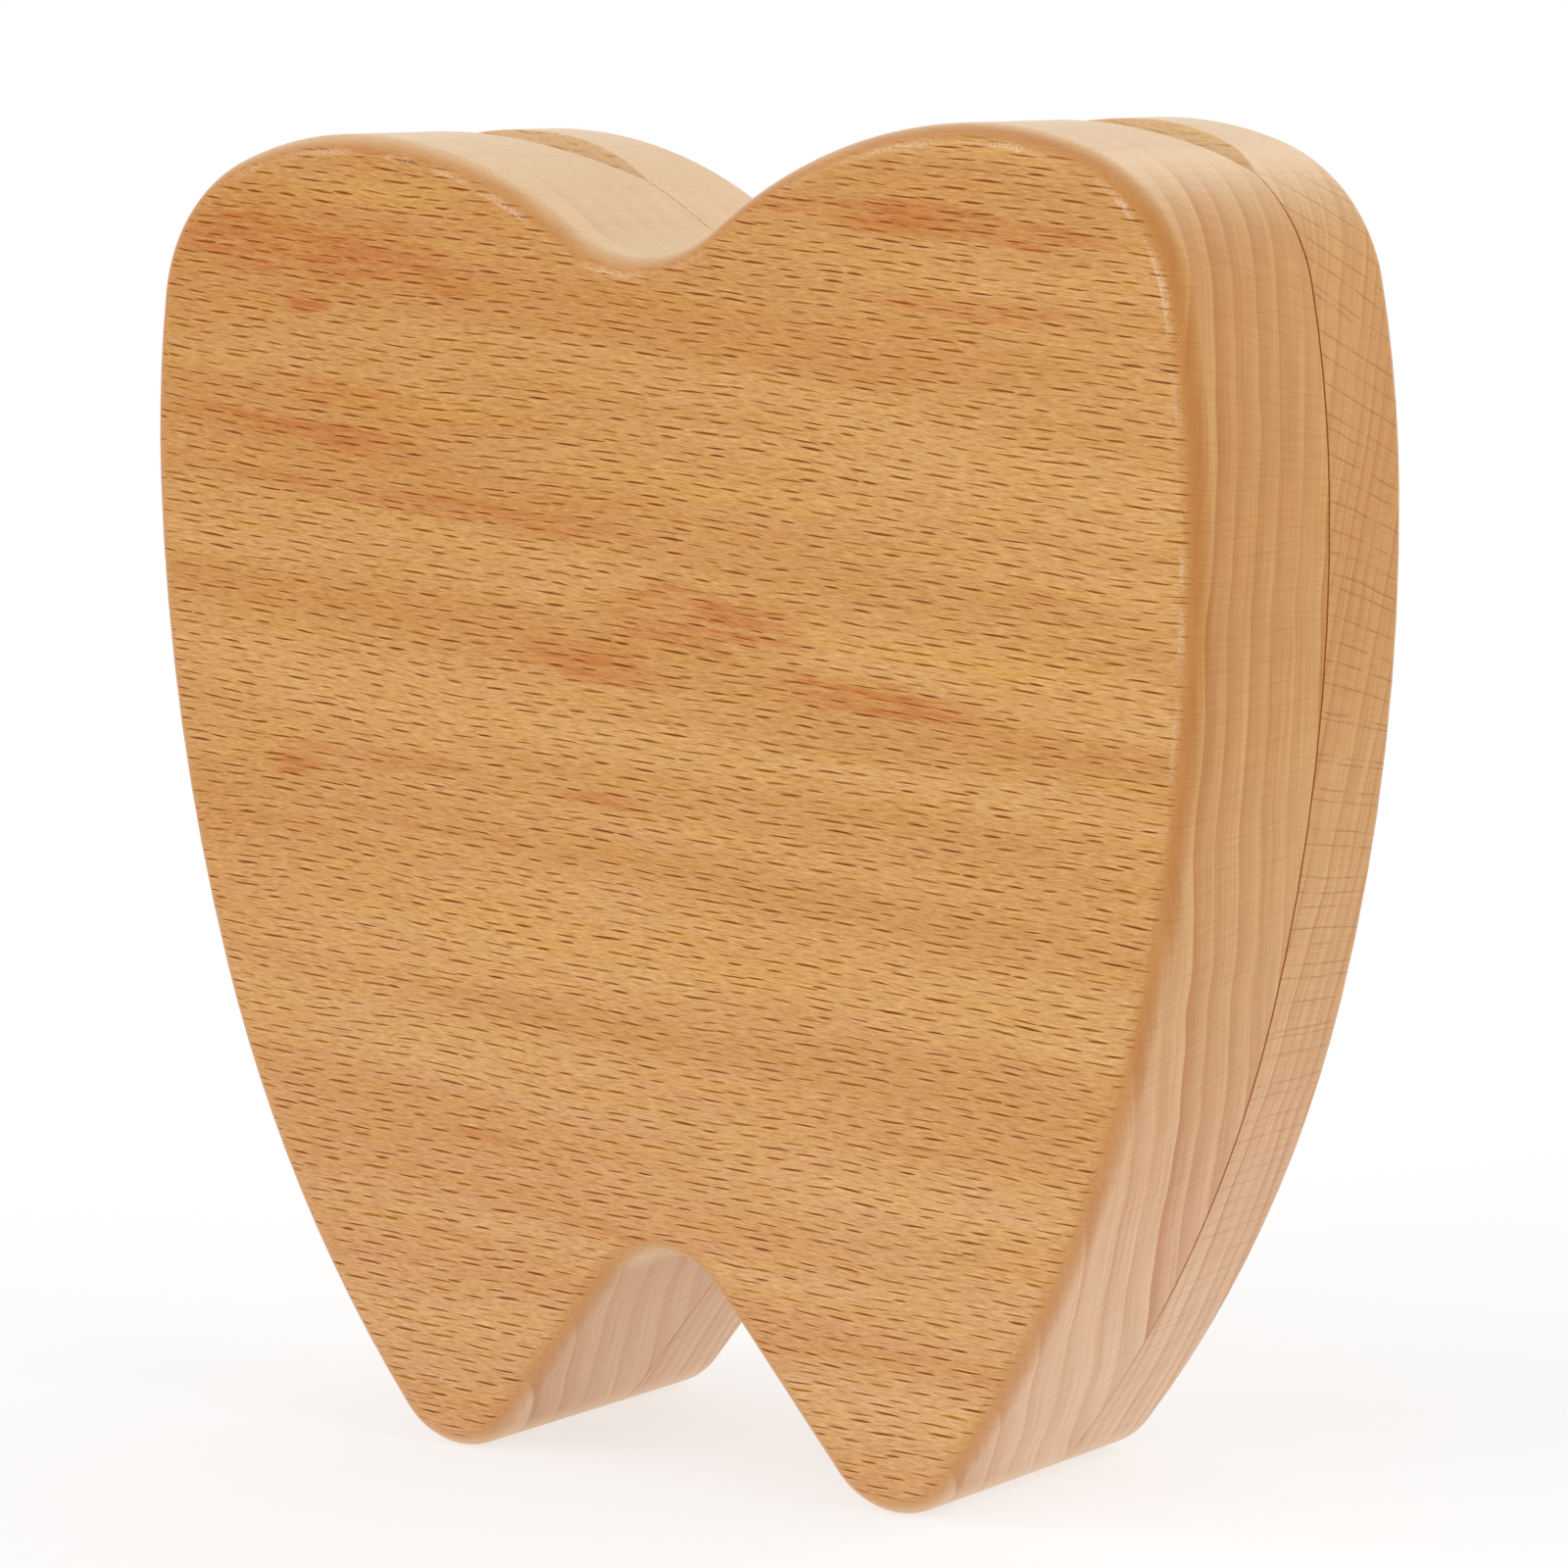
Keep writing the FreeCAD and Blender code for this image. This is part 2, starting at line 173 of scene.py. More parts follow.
# how the fibres run through a board: a little downhill, steeper higher up, and swaying
grain_slope = 0.045
grain_turn = 0.0007
grain_lag = 0.08
sway_size = 34.0, 16.0, 30.0
ripple_size = 9.0, 5.0, 6.0
ring_sway, ring_ripple = 3.0, 0.2
row_sway, row_ripple = 2.0, 0.4

# the squared slopes between which a surface comes to cut the fibres flat, endways or along the rays,
# and how deep behind the face its rounded edge fades out
flat_turn = 0.3, 0.8
rounded_turn = 0.6, 0.96
end_turn = 0.12, 0.8
quarter_turn = 0.1, 0.7
rounded_depth = 1.2, 3.0


def grain_place(x, z):
    """How far along the fibres and how far up across them a place lies."""
    return x - z * grain_lag, z + x * (grain_slope + grain_turn * z)


class Grain:
    """Where a point lies in a board's grain, in millimetres, and how the surface there cuts the fibres."""

    def __init__(self, wire, face_y, pith_y, pith_z):
        self.place = surface_place(wire)
        self.x, self.y, z = self.place
        self.along, self.up = grain_place(self.x, z)
        swaying = self.along, self.up, self.y
        sway = wire.noise(swaying, sway_size) - 0.5
        ripple = wire.noise(swaying, ripple_size) - 0.5
        drift = sway * row_sway + ripple * row_ripple
        behind = pith_y - self.y
        above = self.up - pith_z
        radius = wire.math("SQRT", behind * behind + above * above)
        self.from_pith = radius + sway * ring_sway + ripple * ring_ripple
        self.across = wire.math("ARCTAN2", above, behind) * pith_y + drift
        self.level = self.up + drift

        normal = wire.node("ShaderNodeTexCoord", {}, {}, "Normal")
        self.facing = [normal.part(axis) for axis in range(3)]
        self.end_cut, self.flat_cut, self.ray_cut = (slope * slope for slope in self.facing)
        self.at_face = 1.0 - abs(self.y - face_y).rise(*rounded_depth)
        rounded = self.at_face * (1.0 - self.flat_cut.rise(*rounded_turn))
        self.flat_sawn = self.flat_cut.rise(*flat_turn) * (1.0 - rounded)
        self.end_grain = self.end_cut.rise(*end_turn)
        self.quarter_sawn = self.ray_cut.rise(*quarter_turn)
        self.askew = self.flat_cut * (1.0 - self.flat_cut) * self.at_face * 4.0


# flecks stand in staggered rows: spacing, half size and shift, each along the fibres and across them
ray_rows = {"spacing": (3.7, 0.81), "half": (1.95, 0.11), "shift": (0.0, 0.0)}
fleck_rows = {"spacing": (2.3, 0.47), "half": (1.15, 0.075), "shift": (1.3, 0.4)}
spot_rows = {"spacing": (4.0, 1.5), "half": (1.0, 0.22), "shift": (0.6, 0.2)}
row_stagger = 0.38
row_disorder = 0.55
shortest, thinnest, palest = 0.45, 0.6, 0.6
fleck_edge = 0.35
parted_fibre = 2.2
parted_edge = 0.7


def ray_flecks(wire, grain, spacing, half, shift):
    """Spindle-shaped flecks in rows along the grain, and the pale fibres that part round each of them."""
    length_step, width_step = spacing
    half_length, half_width = half
    along = grain.along + shift[0]
    across = grain.level + shift[1]
    row = across / width_step
    flat = wire.vector(along / length_step + row * row_stagger, row, 0.0)
    settings = {"voronoi_dimensions": "2D"}
    inputs = {"Vector": flat, "Scale": 1.0, "Randomness": row_disorder}
    middle = wire.node("ShaderNodeTexVoronoi", settings, inputs, "Position")
    chance = wire.node("ShaderNodeTexVoronoi", settings, inputs, "Color")
    length = (shortest + (1.0 - shortest) * chance.part(0)) * half_length
    width = (thinnest + (1.0 - thinnest) * chance.part(1)) * half_width
    depth = palest + (1.0 - palest) * chance.part(2)
    off_along = (along - (middle.part(0) - middle.part(1) * row_stagger) * length_step) / length
    off_across = abs(across - middle.part(1) * width_step) / width
    spindle = wire.math("MAXIMUM", 1.0 - off_along * off_along, 0.0)
    flecks = (spindle - off_across).rise(0.0, fleck_edge) * depth
    parted = (spindle - abs(off_across - parted_fibre)).rise(0.0, parted_edge) * depth
    return flecks, parted


# frayed edges and wisps of the streaks, with sizes along the fibres and across them
fray_size = 7.0, 1.4, 1.0
fray_reach = 2.2
wisp_size = 8.0, 0.55, 1.0
wisp_slice = 4.0
wisp_edge = 0.36, 0.64
wisp_least = 0.25


def stains(wire, grain, marks):
    """Streaks of colour along the grain, each at x and z with a half length, a half width and a depth."""
    fray = (wire.noise((grain.along, grain.up, 0.0), fray_size, 4.0) - 0.5) * fray_reach
    wisps = wire.noise((grain.along, grain.up, wisp_slice), wisp_size, 3.0).rise(*wisp_edge)
    total = 0.0
    for x, z, half_length, half_width, depth in marks:
        mark_along, mark_up = grain_place(x, z)
        off_along = (grain.along - mark_along) / half_length
        off_up = (grain.up - mark_up) / half_width + fray
        total = total + (1.0 - off_along * off_along - off_up * off_up).rise(0.0, 1.0) * depth
    return wire.math("MINIMUM", total, 1.0) * (wisp_least + (1.0 - wisp_least) * wisps)


# how the widths of the rings drift, and the shares of a ring at which it ends and starts
year_size = 9.0, 1.0, 1.0
year_drift = 1.6
ring_end = 0.95, 1.0
ring_start = 0.02, 0.3
ring_least = 0.15


def growth_rings(wire, grain, width, edge):
    """The dark late wood and the pale early wood of rings that differ from year to year and end sharply."""
    rings = grain.from_pith / width + wire.noise((grain.from_pith, 0.0, 0.0), year_size) * year_drift
    ring = wire.math("FRACT", rings)
    settings = {"noise_dimensions": "1D"}
    year = wire.node("ShaderNodeTexWhiteNoise", settings, {"W": wire.math("FLOOR", rings)})
    darkening = (ring**edge) * (1.0 - ring.rise(*ring_end)) * (0.5 + 0.5 * year)
    share = ring_least + (1.0 - ring_least) * grain.end_grain
    late = (darkening * 0.7 + year * 0.3) * share
    early = (1.0 - ring.rise(*ring_start)) * share
    return late, early


# rays at the ends of a board: their spacing, the half widths over which they fade, and the gaps in them
end_ray_spacing = 1.7
end_ray_disorder = 0.85
end_ray_half = 0.02, 0.12
end_ray_gaps = 1 / 0.35, 1 / 0.6, 1.0
end_ray_breaks = 0.28, 0.6


def end_ray_lines(wire, grain):
    """Thin broken rays that run towards the pith across the ends of the board."""
    inputs = {"W": grain.across / end_ray_spacing, "Scale": 1.0, "Randomness": end_ray_disorder}
    off_line = wire.node("ShaderNodeTexVoronoi", {"voronoi_dimensions": "1D"}, inputs, "Distance")
    broken = wire.noise((grain.from_pith, grain.across, 0.0), end_ray_gaps).rise(*end_ray_breaks)
    return (1.0 - (off_line * end_ray_spacing).rise(*end_ray_half)) * broken * grain.end_grain


# painted highlight along the crease of the face edge: how far the surface has turned, which way it faces, how high
# up it is, and the sizes of its patches and specks
crease_from = 0.004, 0.03
crease_to = 0.06, 0.25
lit_side_turn = 0.02, 0.25
lit_side_height = 45.0, 85.0
lit_side_least = 0.2
patch_size = 5.0, 5.0, 5.0
patch_edge = 0.38, 0.62
speck_size = 0.2, 0.2, 0.2
speck_edge = 0.3, 0.7


def painted_edge_highlight(wire, grain):
    """A painted highlight where the flat face turns into its rounded edge, brightest on the side facing up and
    right and high up, broken into patches and specks.
    """
    turn = 1.0 - grain.flat_cut
    crease = grain.at_face * turn.rise(*crease_from) * (1.0 - turn.rise(*crease_to))
    lit_side = (grain.facing[0] + grain.facing[2]).rise(*lit_side_turn)
    lit_side = lit_side * (lit_side_least + (1.0 - lit_side_least) * grain.up.rise(*lit_side_height))
    patches = wire.noise(grain.place, patch_size).rise(*patch_edge)
    specks = wire.noise(grain.place, speck_size).rise(*speck_edge)
    return crease * lit_side * (patches * specks)


# painted shade of the joint gap: how far from the joint, how far the surface has turned and across what, and how
# high up
joint_shade_depth = 0.08, 0.15
joint_shade_turn = 0.8, 0.98
joint_shade_fibres = 0.3, 0.9
joint_shade_height = 8.0, 24.0


def painted_joint_shade(grain, joint_y):
    """Painted shade of the gap along the eased edges at the joint, most of all where they cross the fibres, and
    only above the roots.
    """
    edge = (1.0 - abs(grain.y - joint_y).rise(*joint_shade_depth)) * (1.0 - grain.flat_cut.rise(*joint_shade_turn))
    across_fibres = grain.end_cut / (grain.end_cut + grain.ray_cut + 0.01)
    return edge * across_fibres.rise(*joint_shade_fibres) * grain.up.rise(*joint_shade_height)


# colours of the wood, of its painted reflections, sheen, highlight and joint shade, and the sizes of its bands,
# streaks and fibres
honey = colour(205, 156, 94)
amber = colour(194, 138, 76)
cream_and_reflection = colour(231, 199, 157)
floor_reflection_pale = colour(230, 195, 168)
rust = colour(180, 92, 32)
yellow = colour(206, 154, 74)
deep_orange = colour(176, 104, 46)
red_spot = colour(172, 68, 22)
ray_brown = colour(122, 48, 2)
end_brown = colour(140, 74, 28)
joint_shade_brown = colour(142, 58, 4)
highlight_pale = colour(242, 212, 176)
latewood = colour(172, 104, 46)
earlywood = colour(218, 172, 112)
band_size = 90.0, 5.0, 8.0
band_edge = 0.3, 0.7
painted_sheen_span = 240.0
streak_size = 26.0, 2.2, 6.0
streak_shift = 1040.0
streak_edge = 0.6, 0.8
fibre_size = 1 / 0.9, 1 / 14, 1 / 9
pore_size = 1 / 3, 1 / 4.5, 1 / 4.5
blush_size = 13.0, 1.5, 1.0
blush_slice = 9.0
ring_line_size = 1 / 2.6, 12.0, 1.0
saw_line_size = 5.0, 0.25, 1.0
saw_line_slice = 6.0
low_height = -20.0, 75.0
high_height = 55.0, 90.0
fewest_rays = 0.06
lacquer = {"Specular IOR Level": 0.1, "Coat Roughness": 0.22, "Coat IOR": 1.4}
lacquer_weight = 0.12
lacquer_roughness = 0.34
grain_relief = 0.04


def beech(name, face_y, joint_y, pith_y, pith_z, ring_width, ring_edge, end_rays, red_marks, yellow_marks):
    """Lacquered beech whose figure runs through the whole block: rings about the pith, and rays across."""
    material, shader, wire = new_finish(name, lacquer)
    grain = Grain(wire, face_y, pith_y, pith_z)
    along, flat_sawn, end_grain = grain.along, grain.flat_sawn, grain.end_grain
    late, early = growth_rings(wire, grain, ring_width, ring_edge)
    end_lines = end_ray_lines(wire, grain) * end_rays
    edge_highlight = painted_edge_highlight(wire, grain)
    joint_shade = painted_joint_shade(grain, joint_y)
    low_down = 1.0 - grain.up.rise(*low_height)
    high_up = grain.up.rise(*high_height)

    # bands and streaks of colour
    tone = wire.noise((along, grain.across, grain.from_pith), band_size, 3.0).rise(*band_edge)
    # the tone also grows paler towards the right: a painted sheen
    tone = tone + (0.5 - tone) * end_grain * 0.8 + grain.x / painted_sheen_span
    streak = wire.noise((along + streak_shift, grain.across, grain.from_pith), streak_size, 3.0)
    red = wire.math("MAXIMUM", stains(wire, grain, red_marks), streak.rise(*streak_edge) * 0.5) * flat_sawn
    # painted reflection of the white floor: the low parts paler, most of all on their end grain, and the end grain
    # below the top a little paler
    painted_floor_reflection = 0.08 * end_grain * (1.0 - high_up) + low_down * (0.2 + 0.65 * end_grain)
    # the rounded face edge turns a darker orange, partly lacquer soaked into its cut fibres, partly painted shade
    # where the round turns away from the lights
    soaked_and_shaded_edge = grain.askew * (0.25 + 0.4 * tone) * (1.0 - 0.6 * low_down)

    # rays and fibres on the flat, ring lines and saw lines across the ends
    ray_share = wire.math("MAXIMUM", flat_sawn, fewest_rays)
    rays, parted = (mask * ray_share for mask in ray_flecks(wire, grain, **ray_rows))
    flecks = ray_flecks(wire, grain, **fleck_rows)[0] * ray_share
    spots = ray_flecks(wire, grain, **spot_rows)[0] * red
    strands = along, grain.level, grain.from_pith
    fibre = wire.noise(strands, fibre_size, 1.0) - 0.5
    pores = wire.noise(strands, pore_size) - 0.5
    blush = (wire.noise((along, grain.level, blush_slice), blush_size, 1.0) - 0.5) * flat_sawn
    ring_lines = wire.noise((grain.from_pith, grain.across, 0.0), ring_line_size, 3.0) - 0.5
    saw_lines = wire.noise((grain.from_pith, grain.across, saw_line_slice), saw_line_size, 3.0) - 0.5
    hairs = (fibre * 1.1 + pores * 0.2) * (1.0 - 0.85 * end_grain - 0.5 * grain.quarter_sawn)
    hairs = hairs * (1.0 - 0.5 * grain.askew) + parted * 0.14
    hairs = hairs + (ring_lines * 0.5 + saw_lines * 0.3) * end_grain

    # the light and dark of the fibres is strongest in blue and weakest in red
    shade = wire.vector(1.0 + hairs * 0.75, 1.0 + hairs, 1.0 + hairs * 1.7 + blush * 0.5 - rays)
    wood = wire.layers(
        wire.mix(tone, amber, honey),
        (stains(wire, grain, yellow_marks) * flat_sawn * 0.7, yellow),
        # quarter-sawn tops and undersides paler, partly the wood's own and partly a painted reflection of the
        # white surroundings at grazing angles
        (grain.quarter_sawn * 0.75, cream_and_reflection),
        (painted_floor_reflection, floor_reflection_pale),
        # the darker orange rounded edge, partly painted shade, and the end grain a little oranger high up
        (soaked_and_shaded_edge, deep_orange),
        (high_up * end_grain * 0.1, deep_orange),
        (late * 0.8, latewood),
        (early * 0.12, earlywood),
        (red * 0.7, rust),
        (spots * 0.7, red_spot),
    )
    wood = wire.layers(
        wire.mix(1.0, wood, shade, "MULTIPLY"),
        (end_lines * (0.5 - 0.42 * low_down), end_brown),
        (flecks * 0.35, ray_brown),
        (rays, ray_brown),
        # a painted highlight along the crease where the face turns into its rounded edge
        (edge_highlight * 0.45, highlight_pale),
        # painted shade of the joint gap along the eased edges at the joint
        (joint_shade * 0.9, joint_shade_brown),
    )
    feed(shader, "Base Color", wood)
    feed(shader, "Roughness", lacquer_roughness + fibre * 0.16 + rays * 0.15 + joint_shade * 0.5)
    feed(shader, "Coat Weight", lacquer_weight * (1.0 - joint_shade) + edge_highlight * 0.6)
    emboss(shader, fibre * 0.5 + pores * 0.3 - rays, strength=0.3, depth=grain_relief)
    return material


def box_of(node):
    """The low and the high corner of a CAD node, in millimetres."""
    return [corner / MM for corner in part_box(node)]


# outline of the tooth, in millimetres: x to the right and z up from the root tips
body_low, body_high = box_of("body_half")
lid_low, lid_high = box_of("lid_half")
height = body_high.z
half_width = body_high.x
lobe_inset = 21.6
dip_depth = 10.2
dip_radius = 13.0
crown_radius = 31.5
shoulder_radius = 14.3
flank_radius = 97.0
widest_drop = 29.2
root_spacing = 45.0
tip_radius = 7.3
root_slope = math.radians(39.0)
arch_height = 18.8
arch_radius = 7.0
arc_step = math.radians(2.0)
straight = 1e-4
touching = 1e-4
weld = 0.001
outline_weld = 0.01
corner_steps = 6


def toward(start, end, distance):
    """The point at a distance from the start on the way to the end."""
    return start + (end - start).normalized() * distance


def circles_meet(centre_a, reach_a, centre_b, reach_b):
    """The upper of the two points at the given reach from both centres."""
    gap = centre_b - centre_a
    along = (reach_a**2 - reach_b**2 + gap.length_squared) / (2 * gap.length)
    aside = math.sqrt(reach_a**2 - along**2)
    unit = gap.normalized()
    square = Vector((-unit.y, unit.x)) * aside
    foot = centre_a + unit * along
    return max(foot + square, foot - square, key=lambda point: point.y)


def outline_stops():
    """Where the arcs and lines of the right half of the outline meet, from the dip down to the arch."""
    lobe_x = half_width - lobe_inset
    dip = Vector((0, height - dip_depth + dip_radius))
    inner_radius = (lobe_x**2 + dip_depth**2) / (2 * dip_depth) - dip_radius
    inner = Vector((lobe_x, height - inner_radius))
    crown = Vector((lobe_x, height - crown_radius))
    widest = Vector((half_width, height - widest_drop))
    flank = widest - Vector((flank_radius, 0))
    shoulder = circles_meet(crown, crown_radius - shoulder_radius, flank, flank_radius - shoulder_radius)

    # two arcs run from straight down at the widest point to the slope of the root
    tip = Vector((root_spacing / 2, tip_radius))
    root_side = tip + Vector((math.cos(root_slope), -math.sin(root_slope))) * tip_radius
    down = Vector((0, -1))
    inward = Vector((-math.sin(root_slope), -math.cos(root_slope)))
    span = root_side - widest
    bend = 2 * (1 - down.dot(inward))
    lean = span.dot(down + inward)
    reach = (math.sqrt(lean**2 + bend * span.length_squared) - lean) / bend
    side = (widest + down * reach + root_side - inward * reach) / 2

    # a straight line crosses from the outside of the tip to the inside of the arch
    arch = Vector((0, arch_height - arch_radius))
    across = arch - tip
    heading = math.atan2(across.y, across.x) + math.acos((tip_radius + arch_radius) / across.length)
    normal = Vector((math.cos(heading), math.sin(heading)))
    return [
        toward(dip, inner, dip_radius),
        Vector((lobe_x, height)),
        toward(crown, shoulder, crown_radius),
        toward(flank, shoulder, flank_radius),
        widest,
        side,
        root_side,
        tip + normal * tip_radius,
        arch - normal * arch_radius,
        Vector((0, arch_height)),
    ]


def pull_point(mesh, pen, move):
    """Draws a line from a point by pulling a copy of it away, and gives the copy."""
    drawn = bmesh.ops.extrude_vert_indiv(mesh, verts=[pen])["verts"][0]
    drawn.co += Vector(move)
    return drawn


def tooth_outline(mesh, at_y):
    """Draws the closed outline as spun arcs and straight lines, each tangent to the one before."""
    right_half = outline_stops()
    left_half = [Vector((-stop.x, stop.y)) for stop in reversed(right_half[:-1])]
    start = Vector((0, height - dip_depth))
    heading = Vector((1, 0))
    pen = mesh.verts.new((start.x, at_y, start.y))
    for stop in right_half + left_half + [start]:
        chord = stop - Vector((pen.co.x, pen.co.z))
        half_turn = math.atan2(heading.cross(chord), heading.dot(chord))
        if abs(half_turn) < straight:
            pen = pull_point(mesh, pen, (chord.x, 0, chord.y))
            continue
        radius = chord.length / (2 * math.sin(half_turn))
        centre = Vector((pen.co.x - heading.y * radius, at_y, pen.co.z + heading.x * radius))
        steps = math.ceil(abs(2 * half_turn) / arc_step)
        arc = bmesh.ops.spin(
            mesh, geom=[pen], cent=centre, axis=(0, -1, 0), angle=2 * half_turn, steps=steps
        )
        pen = arc["geom_last"][0]
        heading.rotate(Matrix.Rotation(2 * half_turn, 2))
    bmesh.ops.remove_doubles(mesh, verts=mesh.verts[:], dist=outline_weld)


def round_corner(mesh, corner, size):
    """Rounds a corner of a drawn line."""
    bmesh.ops.bevel(
        mesh,
        geom=[corner],
        offset=size,
        offset_type="OFFSET",
        affect="VERTICES",
        segments=corner_steps,
        profile=0.5,
        material=-1,
    )


def soften(mesh, edges, size, segments):
    """Rounds the given edges of a solid."""
    bmesh.ops.bevel(
        mesh,
        geom=edges,
        offset=size,
        offset_type="OFFSET",
        affect="EDGES",
        segments=segments,
        profile=0.5,
        clamp_overlap=False,
        material=-1,
    )


def edges_at(mesh, at_y):
    """The edges that lie in a plane across y."""
    return [e for e in mesh.edges if all(abs(v.co.y - at_y) < touching for v in e.verts)]


def fill_and_pull(mesh, depth):
    """Fills a drawn outline and pulls it along y into a closed slab."""
    bmesh.ops.contextual_create(mesh, geom=mesh.edges[:])
    pulled = bmesh.ops.extrude_face_region(mesh, geom=mesh.faces[:])["geom"]
    corners = [part for part in pulled if isinstance(part, bmesh.types.BMVert)]
    bmesh.ops.translate(mesh, verts=corners, vec=(0, depth, 0))
    bmesh.ops.recalc_face_normals(mesh, faces=mesh.faces[:])


def cut_plane(mesh, place, normal, clear_outer=False):
    """Cuts a mesh along a plane, and gives the edges of the cut."""
    whole = mesh.verts[:] + mesh.edges[:] + mesh.faces[:]
    cut = bmesh.ops.bisect_plane(mesh, geom=whole, plane_co=place, plane_no=normal, clear_outer=clear_outer)
    return [part for part in cut["geom_cut"] if isinstance(part, bmesh.types.BMEdge)]


joints = {joint["name"]: joint for joint in frame["joints"]}
hinge_line = Vector(joints["lid_hinge"]["pos_m"]) / MM
bevel_angle = math.radians(45.5)
edge_ease = 0.1
edge_ease_steps = 2
face_round_steps = 10


def tooth_block(joint_y, face_y, face_round):
    """One half of the box: a slab with a rounded face edge, and its crown cut back from the hinge line."""
    outward = math.copysign(1, face_y - joint_y)
    mesh = bmesh.new()
    tooth_outline(mesh, joint_y)
    fill_and_pull(mesh, face_y - joint_y)
    soften(mesh, edges_at(mesh, face_y), face_round, face_round_steps)
    bevel_normal = 0, -outward * math.cos(bevel_angle), math.sin(bevel_angle)
    rim = cut_plane(mesh, (0, joint_y, hinge_line.z), bevel_normal, clear_outer=True)
    bmesh.ops.holes_fill(mesh, edges=rim)
    sharp = set(rim + edges_at(mesh, joint_y))
    hinge_edges = [e for e in sharp if all(abs(v.co.z - hinge_line.z) < touching for v in e.verts)]
    soften(mesh, list(sharp.difference(hinge_edges)), edge_ease, edge_ease_steps)
    return mesh


def add_object(name, data):
    """Puts a new object in the scene."""
    made = bpy.data.objects.new(name, data)
    bpy.context.scene.collection.objects.link(made)
    return made


def mesh_object(mesh, name):
    """Puts a finished mesh in the scene."""
    data = bpy.data.meshes.new(name)
    mesh.to_mesh(data)
    mesh.free()
    return add_object(name, data)


crisp_angle = math.radians(28)


def piece(mesh, name, material, slot, *nodes):
    """Makes a mesh in millimetres a piece of the box, which stands for its CAD nodes."""
    bmesh.ops.scale(mesh, vec=(MM, MM, MM), verts=mesh.verts[:])
    for face in mesh.faces:
        face.smooth = True
    for edge in mesh.edges:
        edge.smooth = len(edge.link_faces) == 2 and edge.calc_face_angle() < crisp_angle
    made = mesh_object(mesh, name)
    made.data.materials.append(material)
    weighted = made.modifiers.new("even_normals", "WEIGHTED_NORMAL")
    weighted.keep_sharp = True
    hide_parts(*nodes)
    return made


def carve(mesh, cutters):
    """Takes the cutters away from a block, one after the other."""
    block = mesh_object(mesh, "block")
    tools = [mesh_object(cutter, "cutter") for cutter in cutters]
    for tool in tools:
        cut = block.modifiers.new("cut", "BOOLEAN")
        cut.operation = "DIFFERENCE"
        cut.solver = "EXACT"
        cut.object = tool
    bpy.context.view_layer.update()
    carved = bmesh.new()
    carved.from_object(block, bpy.context.evaluated_depsgraph_get())
    for helper in [block] + tools:
        data = helper.data
        bpy.data.objects.remove(helper)
        bpy.data.meshes.remove(data)
    return carved


lathe_steps = 48


def lathe(mesh, foot, axis, aside, profile, steps=lathe_steps):
    """Turns a profile about an axis: each corner has a place along it, a radius and a round."""
    before = set(mesh.verts)
    line = [mesh.verts.new(foot + axis * profile[0][0])]
    for along, radius, _ in profile:
        target = foot + axis * along + aside * radius
        line.append(pull_point(mesh, line[-1], target - line[-1].co))
    pull_point(mesh, line[-1], foot + axis * profile[-1][0] - line[-1].co)
    for corner, (_, _, size) in zip(line[1:], profile):
        if size:
            round_corner(mesh, corner, size)
    drawn = [vert for vert in mesh.verts if vert not in before]
    edges = {edge for vert in drawn for edge in vert.link_edges}
    bmesh.ops.spin(
        mesh, geom=drawn + list(edges), cent=foot, axis=axis, angle=2 * math.pi, steps=steps, use_merge=True
    )


def closed(mesh):
    """Merges doubled points and turns every face outwards."""
    bmesh.ops.remove_doubles(mesh, verts=mesh.verts[:], dist=weld)
    bmesh.ops.recalc_face_normals(mesh, faces=mesh.faces[:])
    return mesh


def middle_at(low, high, at_y):
    """The middle of a box in x and z, at a given y."""
    return Vector(((low.x + high.x) / 2, at_y, (low.z + high.z) / 2))


# a cutter reaches past the face that it cuts
past = 1.0
slot_corner_steps = 8


def milled_slot(low, high, joint_y, depth, corner, ease):
    """A pocket cutter with rounded corners and an eased mouth."""
    mesh = bmesh.new()
    size = Vector((high.x - low.x, depth + past, high.z - low.z))
    middle = middle_at(low, high, joint_y - depth + size.y / 2)
    stretch = Matrix.Diagonal((*size, 1))
    bmesh.ops.create_cube(mesh, size=1.0, matrix=Matrix.Translation(middle) @ stretch)
    uprights = [e for e in mesh.edges if abs((e.verts[0].co - e.verts[1].co).y) > depth]
    soften(mesh, uprights, corner, slot_corner_steps)
    cut_plane(mesh, (0, joint_y - ease, 0), (0, 1, 0))
    flare = [v for v in mesh.verts if v.co.y > joint_y]
    wider, taller = ((side / 2 + ease + past) / (side / 2) for side in (size.x, size.z))
    bmesh.ops.scale(mesh, vec=(wider, 1, taller), space=Matrix.Translation(-middle), verts=flare)
    return closed(mesh)


# the halves close on each other but for a hair
joint_hair = 0.02
joint_closing = (lid_low.y - body_high.y - joint_hair) / 2
body_joint_y = body_high.y + joint_closing
front_round = 2.0
socket_radius = 4.1
socket_depth = 10.0
socket_floor_round = 1.5
mouth_ease = 0.4
right = Vector((1, 0, 0))
rearward = Vector((0, 1, 0))

# sockets stand where the record states their openings
socket_profile = [
    (-past, socket_radius + mouth_ease + past, 0),
    (mouth_ease, socket_radius, 0),
    (socket_depth, socket_radius, socket_floor_round),
]
holes = bmesh.new()
for opening in frame["record"]["physics"]["openings"]:
    if "socket" in opening["name"]:
        low, high = (Vector(corner) / MM for corner in opening["box_m"])
        lathe(holes, middle_at(low, high, body_joint_y), -rearward, right, socket_profile)

# blind holes for the hinge barrels and the magnets are a little larger than what is glued into them
glue_gap = 0.05
hole_end_gap = 0.1


